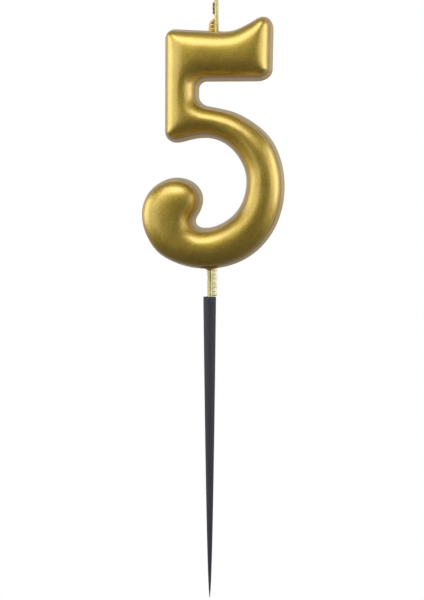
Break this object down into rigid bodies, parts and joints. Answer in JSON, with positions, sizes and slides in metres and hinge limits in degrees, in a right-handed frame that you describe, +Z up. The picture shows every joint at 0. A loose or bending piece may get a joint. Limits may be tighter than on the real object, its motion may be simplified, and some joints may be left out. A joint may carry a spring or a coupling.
{
  "type": "number birthday candle",
  "caption": "Gold wax candle in the shape of the digit five, with a wick along its strokes, standing by its tail in the socket of a long tapered pick for pushing into a cake.",
  "frame": {"origin": "the tip of the pick", "axes": "+Z up along the pick's axis, +X to the reader's right, and the digit's domed front faces -Y, with its flat back towards +Y"},
  "size_m": [0.04, 0.011, 0.1677],
  "materials": {
    "gold_lacquer": "satin metallic gold lacquer with a fine grain",
    "gold_wick_wax": "glossy pale gold wax",
    "wax": "plain cast paraffin wax",
    "wick_cotton": "waxed cotton braid",
    "dark_plastic": "matt charcoal"
  },
  "bodies": {
    "pick": {"pick": "dark_plastic"},
    "candle": {"wax_numeral": "wax", "gold_skin": "gold_lacquer", "wick_core": "wick_cotton", "wick_braid": "wick_cotton", "upper_wick_coat": "gold_wick_wax", "upper_wick_flash": "gold_wick_wax", "tail_coat": "gold_wick_wax", "tail_flash": "gold_wick_wax"}
  },
  "joints": [
    {"name": "candle_lift", "type": "slide", "parent": "pick", "child": "candle", "axis": [0, 0, 1], "range_m": [0, 0.014]}
  ]
}
